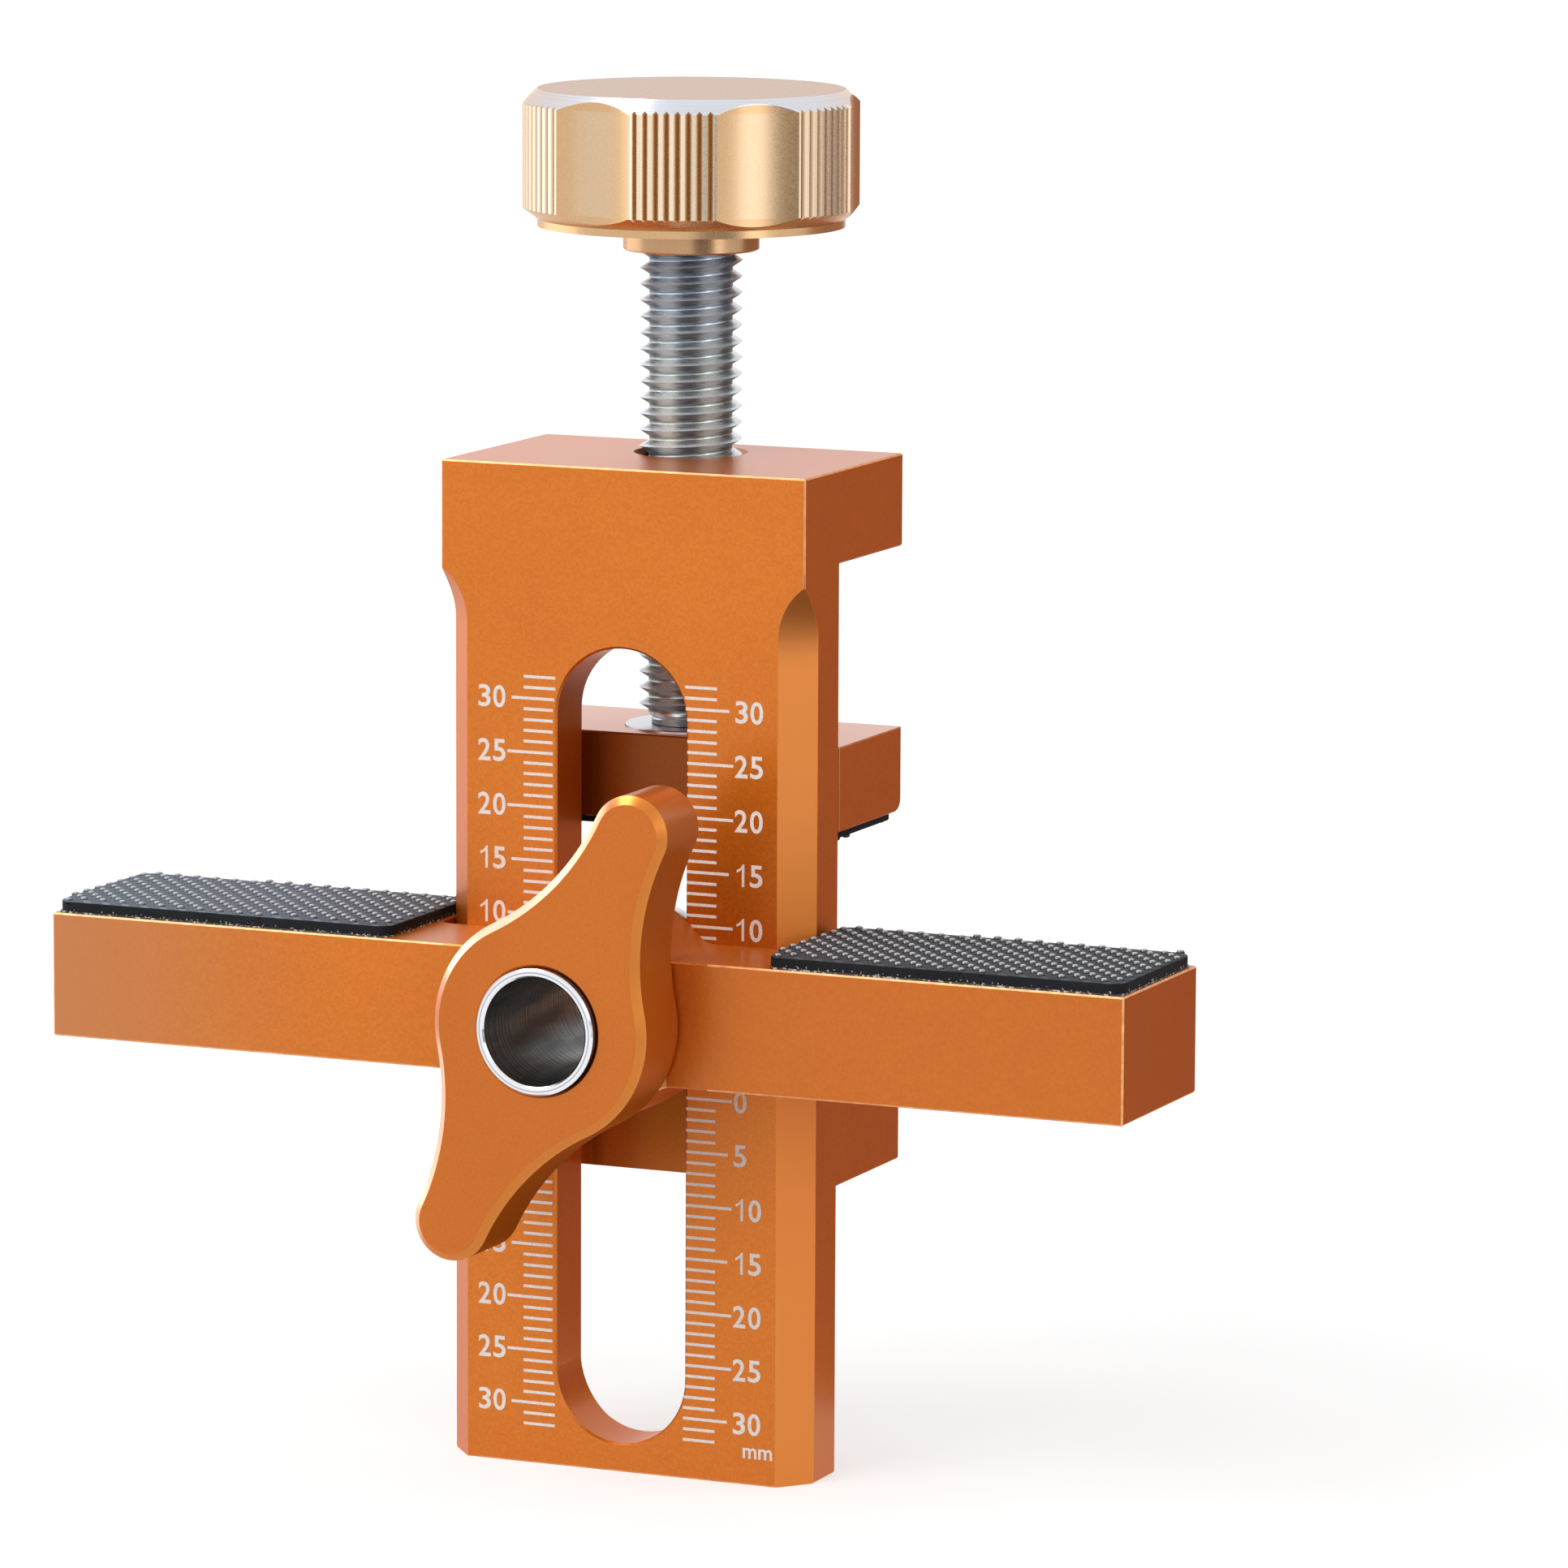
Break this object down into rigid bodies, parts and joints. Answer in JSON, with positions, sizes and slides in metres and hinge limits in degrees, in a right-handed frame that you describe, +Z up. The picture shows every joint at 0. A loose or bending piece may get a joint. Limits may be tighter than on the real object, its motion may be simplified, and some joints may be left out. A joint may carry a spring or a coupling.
{
  "type": "cabinet door mounting jig",
  "caption": "Screw clamp for a cabinet frame rail with a slotted, scaled plate and a sliding padded ledge that holds a door while its hinges are fixed.",
  "frame": {"origin": "middle of the fixed jaw's pad, where the lower edge of the cabinet rail is seated", "axes": "+X to the right along the door ledge, +Y from the door side towards the cabinet, +Z up along the clamp screw"},
  "size_m": [0.1068, 0.0499, 0.1269],
  "materials": {
    "orange_anodised": "bead-blasted and anodised orange",
    "gold_anodised": "bead-blasted and anodised gold, with a polished bare chamfer",
    "threaded_steel": "bright zinc-plated thread",
    "polished_steel": "turned and polished",
    "black_rubber": "smooth matt black",
    "dimpled_rubber": "matt black with diagonal rows of small knobs",
    "adhesive_film": "whitish double-sided film",
    "scale_marking": "pale laser-marked lines and numbers"
  },
  "bodies": {
    "frame": {"body": "orange_anodised", "fixed_jaw_film": "adhesive_film", "fixed_jaw_pad": "black_rubber"},
    "jaw": {"moving_jaw": "orange_anodised", "moving_jaw_film": "adhesive_film", "moving_jaw_pad": "black_rubber", "thrust_washer": "polished_steel"},
    "screw": {"clamp_screw": "threaded_steel", "clamp_knob": "gold_anodised", "retaining_clip": "polished_steel"},
    "arm": {"crossbar": "orange_anodised", "arm_film_left": "adhesive_film", "arm_film_right": "adhesive_film", "arm_pad_left": "dimpled_rubber", "arm_pad_right": "dimpled_rubber"},
    "handle": {"lock_handle": "orange_anodised"},
    "bush": {"guide_bush": "polished_steel"}
  },
  "joints": [
    {"name": "jaw_slide", "type": "slide", "parent": "frame", "child": "jaw", "axis": [0, 0, 1], "range_m": [-0.0187, 0.0166]},
    {"name": "screw_turn", "type": "hinge", "parent": "jaw", "child": "screw", "pos_m": [0, 0, 0.04], "axis": [0, 0, 1], "range_deg": [-4464, 3960]},
    {"name": "arm_slide", "type": "slide", "parent": "frame", "child": "arm", "axis": [0, 0, 1], "range_m": [-0.0337, 0.0244]},
    {"name": "handle_turn", "type": "hinge", "parent": "arm", "child": "handle", "pos_m": [0, -0.0295, 0.0077], "axis": [0, -1, 0], "range_deg": [0, 180]},
    {"name": "bush_slide", "type": "slide", "parent": "arm", "child": "bush", "axis": [0, 1, 0], "range_m": [0, 0.00051]}
  ],
  "couplings": [
    {"joint": "jaw_slide", "follows": "screw_turn", "m_per_rad": 0.00023873},
    {"joint": "bush_slide", "follows": "handle_turn", "m_per_rad": 0.00015915}
  ]
}
